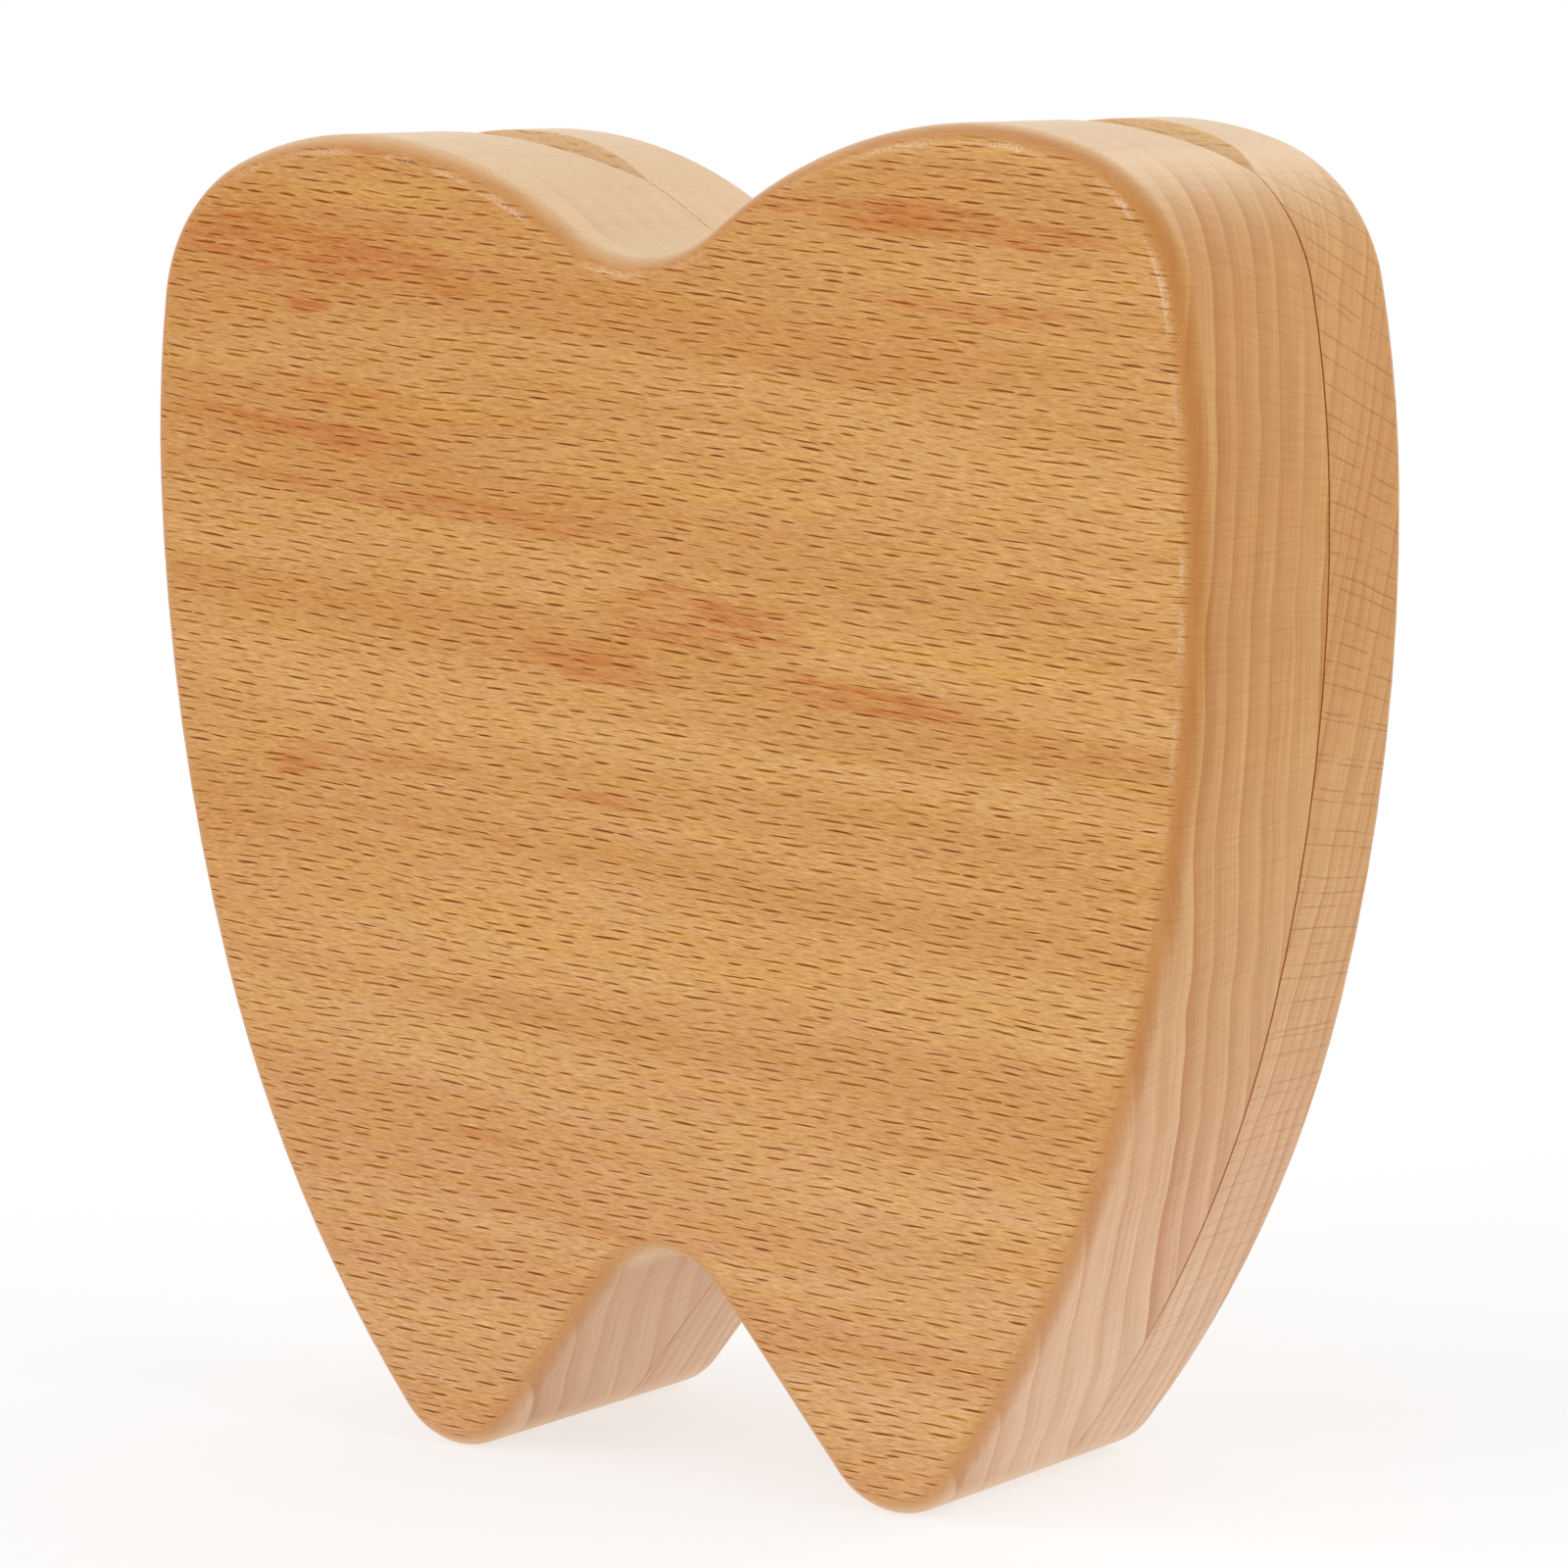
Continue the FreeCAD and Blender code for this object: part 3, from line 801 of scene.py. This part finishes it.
def glue_hole(mesh, node, mouth_y):
    """A blind hole round a node, open from a mouth past the joint."""
    low, high = box_of(node)
    radius = (high.x - low.x) / 2 + glue_gap
    inward = math.copysign(1, (low.y + high.y) / 2 - mouth_y)
    reach = (mouth_y - low.y if inward < 0 else high.y - mouth_y) + hole_end_gap
    profile = [(0, radius, 0), (reach, radius, 0)]
    lathe(mesh, middle_at(low, high, mouth_y), rearward * inward, right, profile)


sides = "left", "right"
for side in sides:
    glue_hole(holes, "hinge_fork_" + side, body_joint_y + past)
    glue_hole(holes, "body_magnet_" + side, body_joint_y + past)

# pockets leave the same play round the vial and the tweezers as the CAD body does
vial_play = 0.3
vial_pocket_corner = 1.5
tweezers_play = 0.4
tweezers_floor_play = 0.2
tweezers_pocket_corner = 3.0
pocket_ease = 0.3
cork_pull = joints["cork_pull"]["range_m"][1] / MM
vial_low, vial_high = box_of("glass_vial")
cork_low, cork_high = box_of("cork")
head_low, head_high = box_of("tweezers_head")
arms_low = box_of("tweezers_lower_arm")[0]
arms_high = box_of("tweezers_upper_arm")[1]
play = Vector((vial_play, vial_play, vial_play))
vial_pocket = milled_slot(
    vial_low - play,
    Vector((cork_high.x + cork_pull, vial_high.y, vial_high.z)) + play,
    body_joint_y,
    body_joint_y - vial_low.y + vial_play,
    vial_pocket_corner,
    pocket_ease,
)
play = Vector((tweezers_play, tweezers_floor_play, tweezers_play))
tweezers_pocket = milled_slot(
    Vector((head_low.x, head_low.y, arms_low.z)) - play,
    arms_high + play,
    body_joint_y,
    body_joint_y - head_low.y + tweezers_floor_play,
    tweezers_pocket_corner,
    pocket_ease,
)

# a finger scoop joins the two pockets
scoop_radius = 11.0
scoop_depth = 8.0
scoop_round = 2.0
scoop_steps = 72
scoop = bmesh.new()
scoop_z = (vial_low.z - vial_play + arms_high.z + tweezers_play) / 2
scoop_profile = [(-past, scoop_radius, 0), (scoop_depth, scoop_radius, scoop_round)]
lathe(scoop, Vector((0, body_joint_y, scoop_z)), -rearward, right, scoop_profile, scoop_steps)
body_block = tooth_block(body_joint_y, body_low.y, front_round)
body_block = carve(body_block, [closed(holes), vial_pocket, tweezers_pocket, closed(scoop)])

# the front board's own streaks: x, z, half length, half width and depth
red_streaks = [
    (-34, 100.5, 24, 3.2, 0.9),
    (-34.5, 96.3, 3.2, 1.2, 1.0),
    (29, 102.5, 22, 1.6, 1.0),
    (34, 95.5, 16, 1.1, 0.6),
    (-36, 85.5, 18, 1.5, 0.8),
    (-22, 79.5, 32, 1.3, 0.6),
    (6, 71, 14, 3.2, 0.9),
    (-5, 67, 10, 2.0, 0.8),
    (23, 65.3, 14, 1.6, 0.9),
    (-37.5, 57.2, 4, 1.2, 1.0),
    (-30, 58.6, 19, 1.0, 0.6),
    (-4, 55.8, 7, 0.9, 0.8),
    (39, 74, 5, 0.9, 0.5),
]
yellow_streaks = [
    (-28, 105, 11, 1.3, 0.7),
    (-25, 88, 15, 1.3, 0.9),
    (8, 81.5, 22, 1.6, 0.5),
    (33, 68.7, 18, 1.2, 0.7),
    (0, 44, 48, 2.6, 0.8),
]
body_beech = beech(
    "body_beech",
    face_y=body_low.y,
    joint_y=body_joint_y,
    pith_y=105.0,
    pith_z=75.0,
    ring_width=3.2,
    ring_edge=1.5,
    end_rays=0.2,
    red_marks=red_streaks,
    yellow_marks=yellow_streaks,
)
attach(piece(body_block, "beech_body", body_beech, "beech", "body_half"), "box_body")


# Beech lid half. A thinner board of the same outline closes the box from behind, from a plank with narrower
# rings that lean across its ends. It is plain inside but for the holes of its hinges and magnets.

lid_joint_y = lid_low.y - joint_closing
rear_round = 1.6
holes = bmesh.new()
for side in sides:
    glue_hole(holes, "hinge_tongue_" + side, lid_joint_y - past)
    glue_hole(holes, "lid_magnet_" + side, lid_joint_y - past)
lid_block = carve(tooth_block(lid_joint_y, lid_high.y, rear_round), [closed(holes)])
red_streaks = [(-12, 88, 26, 1.6, 0.7), (20, 61, 20, 1.3, 0.8), (-28, 47, 14, 1.2, 0.6)]
yellow_streaks = [(10, 74, 40, 2.4, 0.7), (0, 30, 30, 2.0, 0.7)]
lid_beech = beech(
    "lid_beech",
    face_y=lid_high.y,
    joint_y=lid_joint_y,
    pith_y=150.0,
    pith_z=35.0,
    ring_width=1.6,
    ring_edge=4.0,
    end_rays=1.0,
    red_marks=red_streaks,
    yellow_marks=yellow_streaks,
)
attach(piece(lid_block, "beech_lid", lid_beech, "beech", "lid_half"), "lid")


# Barrel hinges. Two pairs of turned brass barrels are glued into blind holes at the crown, a fork in the
# body and a tongue in the lid, and a steel pin runs through each pair.

tarnish_size = 1 / 0.7, 1 / 0.7, 1 / 0.7
tarnish_edge = 0.35, 0.7
metal_line_length = 1 / 0.6
metal_relief = 0.02


def bare_metal(name, bright, dull, rough, lines_per_mm):
    """Turned or plated metal, with fine lines across y and a soft cloudy tarnish."""
    material, shader, wire = new_finish(name, {"Metallic": 1.0})
    place = surface_place(wire)
    cloud = wire.noise(place, tarnish_size, 4.0)
    line_size = metal_line_length, 1 / lines_per_mm, metal_line_length
    lines = wire.noise(place, line_size, 3.0)
    feed(shader, "Base Color", wire.mix(cloud.rise(*tarnish_edge), bright, dull))
    feed(shader, "Roughness", rough + (lines - 0.5) * 0.2 + (cloud - 0.5) * 0.15)
    emboss(shader, lines, strength=0.15, depth=metal_relief)
    return material


brass = bare_metal(
    "turned_brass", colour(226, 184, 104), colour(190, 142, 70), rough=0.3, lines_per_mm=14.0
)
steel = bare_metal(
    "pin_steel", colour(205, 206, 208), colour(168, 168, 170), rough=0.25, lines_per_mm=10.0
)
for side in sides:
    for node, metal in (("hinge_fork_", brass), ("hinge_tongue_", brass), ("hinge_pin_", steel)):
        frame["nodes"][node + side].material_slots[0].material = metal


# Magnets. Nickel-plated discs with eased rims are glued a hair below the two joint faces, one pair in each
# root, where they hold the box shut.

nickel = bare_metal(
    "nickel_plate", colour(214, 210, 203), colour(182, 176, 166), rough=0.2, lines_per_mm=5.0
)
magnet_ease = 0.3
for half, body in (("body", "box_body"), ("lid", "lid")):
    for side in sides:
        node = half + "_magnet_" + side
        low, high = box_of(node)
        radius = (high.x - low.x) / 2
        disc_profile = [(0, radius, magnet_ease), (high.y - low.y, radius, magnet_ease)]
        disc = bmesh.new()
        lathe(disc, middle_at(low, high, low.y), rearward, right, disc_profile)
        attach(piece(closed(disc), "disc_" + node, nickel, "magnet", node), body)


# Glass vial. A small blown bottle for a first lock of hair lies in its pocket, with a short neck, a rolled
# rim and a mouth tapered to the cork.

vial_wall = 0.8
vial_base = 1.2
vial_steps = 64
foot_round = 1.2
shoulder_round = 1.6
neck_radius = 4.25
neck_length = 2.9
neck_foot_round = 0.35
neck_top_round = 0.2
rim_radius = 5.45
rim_height = 2.9
rim_round = 0.9
mouth_round = 0.2
throat_round = 0.4
cork_foot_radius = 3.3
cork_head_radius = 4.7
cork_clearance = 0.05
upward = Vector((0, 0, 1))
vial_length = vial_high.x - vial_low.x
vial_radius = (vial_high.z - vial_low.z) / 2
vial_foot = Vector((vial_low.x, (vial_low.y + vial_high.y) / 2, (vial_low.z + vial_high.z) / 2))
cork_length = cork_high.x - cork_low.x
cork_depth = vial_high.x - cork_low.x
rim_from = vial_length - rim_height
neck_from = rim_from - neck_length
throat_radius = cork_foot_radius + cork_clearance
mouth_radius = throat_radius + (cork_head_radius - cork_foot_radius) * cork_depth / cork_length
vial_profile = [
    (0, vial_radius, foot_round),
    (neck_from, vial_radius, shoulder_round),
    (neck_from, neck_radius, neck_foot_round),
    (rim_from, neck_radius, neck_top_round),
    (rim_from, rim_radius, rim_round),
    (vial_length, rim_radius, rim_round),
    (vial_length, mouth_radius, mouth_round),
    (vial_length - cork_depth, throat_radius, 0),
    (neck_from - vial_wall, throat_radius, throat_round),
    (neck_from - vial_wall, vial_radius - vial_wall, shoulder_round - vial_wall),
    (vial_base, vial_radius - vial_wall, foot_round),
]
bottle = bmesh.new()
lathe(bottle, vial_foot, right, upward, vial_profile, vial_steps)

# light from the lamps passes straight through the glass, so that the pocket behind it isn't dark, and
# its reflections are halved, because the white surroundings would veil it
glass_tint = 0.988, 0.996, 0.993, 1.0
clear_glass = {
    "Base Color": glass_tint,
    "Transmission Weight": 1.0,
    "IOR": 1.47,
    "Specular Tint": (0.5, 0.5, 0.5, 1.0),
}
wave_size = 4.0, 2.0, 2.0
wave_relief = 0.05
glass, shader, wire = new_finish("blown_glass", clear_glass)
waves = wire.noise(surface_place(wire), wave_size)
feed(shader, "Roughness", 0.02 + 0.03 * waves)
emboss(shader, waves, strength=0.2, depth=wave_relief)
lamp_ray = wire.node("ShaderNodeLightPath", {}, {}, "Is Shadow Ray")
clear = wire.node("ShaderNodeBsdfTransparent", {}, {"Color": glass_tint})
bent = Wire(wire.tree, shader.outputs[0])
surface = wire.node("ShaderNodeMixShader", {}, {0: lamp_ray, 1: bent, 2: clear})
feed(glass.node_tree.nodes["Material Output"], "Surface", surface)
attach(piece(closed(bottle), "vial", glass, "vial_glass", "glass_vial"), "box_body")


# Cork. A tapered stopper of pressed cork granules, with pits where granules have broken out, stands part
# way out of the vial's mouth and pulls straight out.

cork_ease = 0.4
granule_size = 1.3, 1.1, 1.1
granule_border = 0.0, 0.1
granule_rim = 0.0, 0.12
grit_size = 1 / 2.4, 1 / 2.4, 1 / 2.4
grit_edge = 0.45, 0.75
pit_size = 1 / 0.9, 1 / 1.2, 1 / 1.2
pit_edge = 0.6, 0.68
cork_relief = 0.15
light_cork = colour(222, 170, 110)
dark_cork = colour(182, 122, 68)
cork_border = colour(128, 78, 42)
cork_grit = colour(226, 180, 128)
cork_pit = colour(92, 52, 28)
stopper = bmesh.new()
cork_profile = [(0, cork_foot_radius, cork_ease / 2), (cork_length, cork_head_radius, cork_ease)]
lathe(stopper, Vector((cork_low.x, vial_foot.y, vial_foot.z)), right, upward, cork_profile)
pressed_cork, shader, wire = new_finish("pressed_cork")
place = surface_place(wire)
cells = wire.vector(*(way / size for way, size in zip(place, granule_size)))
inputs = {"Vector": cells, "Scale": 1.0}
granule = wire.node("ShaderNodeTexVoronoi", {}, inputs, "Color").part(0)
border = wire.node("ShaderNodeTexVoronoi", {"feature": "DISTANCE_TO_EDGE"}, inputs, "Distance")
grit = wire.noise(place, grit_size, 4.0)
pits = wire.noise(place, pit_size, 3.0).rise(*pit_edge)
skin = wire.layers(
    wire.mix(granule, light_cork, dark_cork),
    ((1.0 - border.rise(*granule_border)) * 0.65, cork_border),
    (grit.rise(*grit_edge) * 0.4, cork_grit),
    (pits * 0.85, cork_pit),
)
feed(shader, "Base Color", skin)
feed(shader, "Roughness", 0.75 + 0.2 * grit)
relief = grit * 0.4 + border.rise(*granule_rim) * 0.3 - pits
emboss(shader, relief, strength=0.7, depth=cork_relief)
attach(piece(closed(stopper), "stopper_cork", pressed_cork, "cork", "cork"), "stopper")


# Tweezers. One white moulding lies under the vial: a short head that bows into two arms, with a knurled
# grip on the outside of each arm and a slanted tip. Each half bends at its root when the arms are pinched.

arm_width = 1.8
head_half = 2.7
head_round = 1.0
bow_depth = 4.4
bow_steps = 16
knee_from_top = 21.0
knee_round = 3.0
grip_teeth = 12
grip_pitch = 1.2
grip_depth = 0.3
tip_length = 4.4
tip_land = 0.25
mould_round = 0.25
mould_round_steps = 3
off_middle = 0.01
bend_length = 7.0
bend_steps = 14
tweezers_length = arms_high.x - head_low.x
knee_half = (arms_high.z - arms_low.z) / 2
middle_z = (arms_high.z + arms_low.z) / 2


def tweezers_half(sign, pivot):
    """One half of the moulding, from the middle of the head to a tip."""
    mesh = bmesh.new()
    inner = knee_half - arm_width

    # the bow between the arms is an arc about a point on the middle line, and runs on into both arms
    slope = (knee_half - head_half) / knee_from_top
    lean = math.hypot(1, slope)
    bow_middle = (head_half - arm_width + bow_depth * lean) / (lean - slope)
    bow_radius = bow_middle - bow_depth
    bow_end = bow_middle - bow_radius * slope / lean, bow_radius / lean
    corners = [(0, 0, 0), (0, head_half, head_round), (knee_from_top, knee_half, 0)]
    for tooth in range(grip_teeth):
        notch = knee_from_top + grip_pitch * (tooth + 0.5)
        corners += [(notch, knee_half - grip_depth, 0), (notch + grip_pitch / 2, knee_half, 0)]
    corners += [(tweezers_length - tip_length, knee_half, 0), (tweezers_length, inner + tip_land, 0)]
    corners += [(tweezers_length, inner, 0), (knee_from_top, inner, knee_round), (*bow_end, 0)]
    line = []
    for along, aside, _ in corners:
        target = Vector((head_low.x + along, head_low.y, middle_z + sign * aside))
        line.append(pull_point(mesh, line[-1], target - line[-1].co) if line else mesh.verts.new(target))
    centre = Vector((head_low.x + bow_middle, head_low.y, middle_z))
    sweep = math.pi / 2 - math.atan(slope)
    bmesh.ops.spin(mesh, geom=[line[-1]], cent=centre, axis=(0, -sign, 0), angle=sweep, steps=bow_steps)
    for corner, (_, _, size) in zip(line, corners):
        if size:
            round_corner(mesh, corner, size)
    bmesh.ops.remove_doubles(mesh, verts=mesh.verts[:], dist=weld)
    fill_and_pull(mesh, head_high.y - head_low.y)
    rims = edges_at(mesh, head_low.y) + edges_at(mesh, head_high.y)
    rims = [e for e in rims if any(abs(v.co.z - middle_z) > off_middle for v in e.verts)]
    soften(mesh, rims, mould_round, mould_round_steps)
    for step in range(bend_steps + 1):
        cut_plane(mesh, pivot + right * (bend_length * step / bend_steps), right)
    return mesh


white_cloud_size = 1 / 0.12, 1 / 0.3, 1 / 0.3
mould_grain_size = 1 / 6, 1 / 6, 1 / 6
mould_relief = 0.03
white_plastic, shader, wire = new_finish("moulded_plastic")
place = surface_place(wire)
cloud = wire.noise(place, white_cloud_size)
mould_grain = wire.noise(place, mould_grain_size)
feed(shader, "Base Color", wire.mix(cloud, colour(243, 244, 244), colour(236, 236, 232)))
feed(shader, "Roughness", 0.34 + 0.14 * mould_grain)
emboss(shader, mould_grain, strength=0.12, depth=mould_relief)
for side, sign in (("upper", 1), ("lower", -1)):
    arm = side + "_arm"
    pivot = Vector(joints[arm + "_flex"]["pos_m"]) / MM
    half = tweezers_half(sign, pivot)
    nodes = "tweezers_head", "tweezers_" + arm
    made = piece(half, "tweezers_" + side + "_half", white_plastic, "white_plastic", *nodes)
    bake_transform(made)


# Studio. A white floor lies under an even white sky, with soft lights from the left, the right and behind
# and a smaller one in front, and the camera is where the photographer stood.

floor_half = 12.0
white = 1.0, 1.0, 1.0, 1.0
paper_grey = 0.38, 0.38, 0.38, 1.0
paper_finish = {
    "Base Color": paper_grey,
    "Roughness": 0.9,
    "Specular IOR Level": 0.0,
    "Emission Color": white,
    "Emission Strength": 0.63,
}
floor_mesh = bmesh.new()
bmesh.ops.create_grid(floor_mesh, x_segments=1, y_segments=1, size=floor_half)
floor = mesh_object(floor_mesh, "floor")
floor.data.materials.append(new_finish("white_paper", paper_finish)[0])

# the sky lights the box less than it shows to the camera and in the gloss
ambient = 0.62
world = bpy.data.worlds.new("studio")
world.use_nodes = True
bpy.context.scene.world = world
wire = Wire(world.node_tree)
sky = world.node_tree.nodes["Background"]
sky.inputs["Color"].default_value = white
seen = 0.0
for ray in ("Is Camera Ray", "Is Glossy Ray", "Is Transmission Ray"):
    seen = seen + wire.node("ShaderNodeLightPath", {}, {}, ray)
feed(sky, "Strength", ambient + (1 - ambient) * wire.math("MINIMUM", seen, 1.0))


def soft_sun(name, azimuth, elevation, strength, spread):
    """A wide soft light from a compass direction, where 0 is straight in front of the box."""
    lamp = bpy.data.lights.new(name, "SUN")
    lamp.energy = strength
    lamp.angle = math.radians(spread)
    turn, lift = math.radians(azimuth), math.radians(elevation)
    towards = Vector((math.sin(turn) * math.cos(lift), -math.cos(turn) * math.cos(lift), math.sin(lift)))
    add_object(name, lamp).rotation_euler = towards.to_track_quat("Z", "Y").to_euler()


soft_sun("left_light", azimuth=-40.0, elevation=35.0, strength=0.75, spread=60.0)
soft_sun("front_light", azimuth=-16.0, elevation=8.0, strength=0.5, spread=18.0)
soft_sun("right_light", azimuth=100.0, elevation=35.0, strength=0.8, spread=60.0)
soft_sun("back_light", azimuth=170.0, elevation=20.0, strength=0.6, spread=60.0)

# the camera's place and aim come from fitting the box's outline to the photograph of 1600 by 1600 pixels
frame_pixels = 1600
focal_pixels = 5829.3
sensor = 36.0
camera_azimuth = math.radians(36.942)
camera_lift = math.radians(6.917)
camera_distance = 473.07 * MM
aim_across = math.radians(-0.2402)
aim_up = math.radians(0.0943)
camera_roll = math.radians(-1.285)
look_at = Vector((0, 0, height / 2 * MM))
back = Vector((
    math.sin(camera_azimuth) * math.cos(camera_lift),
    -math.cos(camera_azimuth) * math.cos(camera_lift),
    math.sin(camera_lift),
))
camera_data = bpy.data.cameras.new("camera")
camera_data.sensor_width = sensor
camera_data.lens = focal_pixels / frame_pixels * sensor
camera = add_object("camera", camera_data)
turned = (-back).to_track_quat("-Z", "Y").to_matrix().to_4x4()
turned = turned @ Matrix.Rotation(aim_across, 4, "Y") @ Matrix.Rotation(aim_up, 4, "X")
turned = turned @ Matrix.Rotation(camera_roll, 4, "Z")
camera.matrix_world = Matrix.Translation(look_at + back * camera_distance) @ turned
bpy.context.scene.camera = camera
bpy.context.scene.view_settings.view_transform = "Standard"
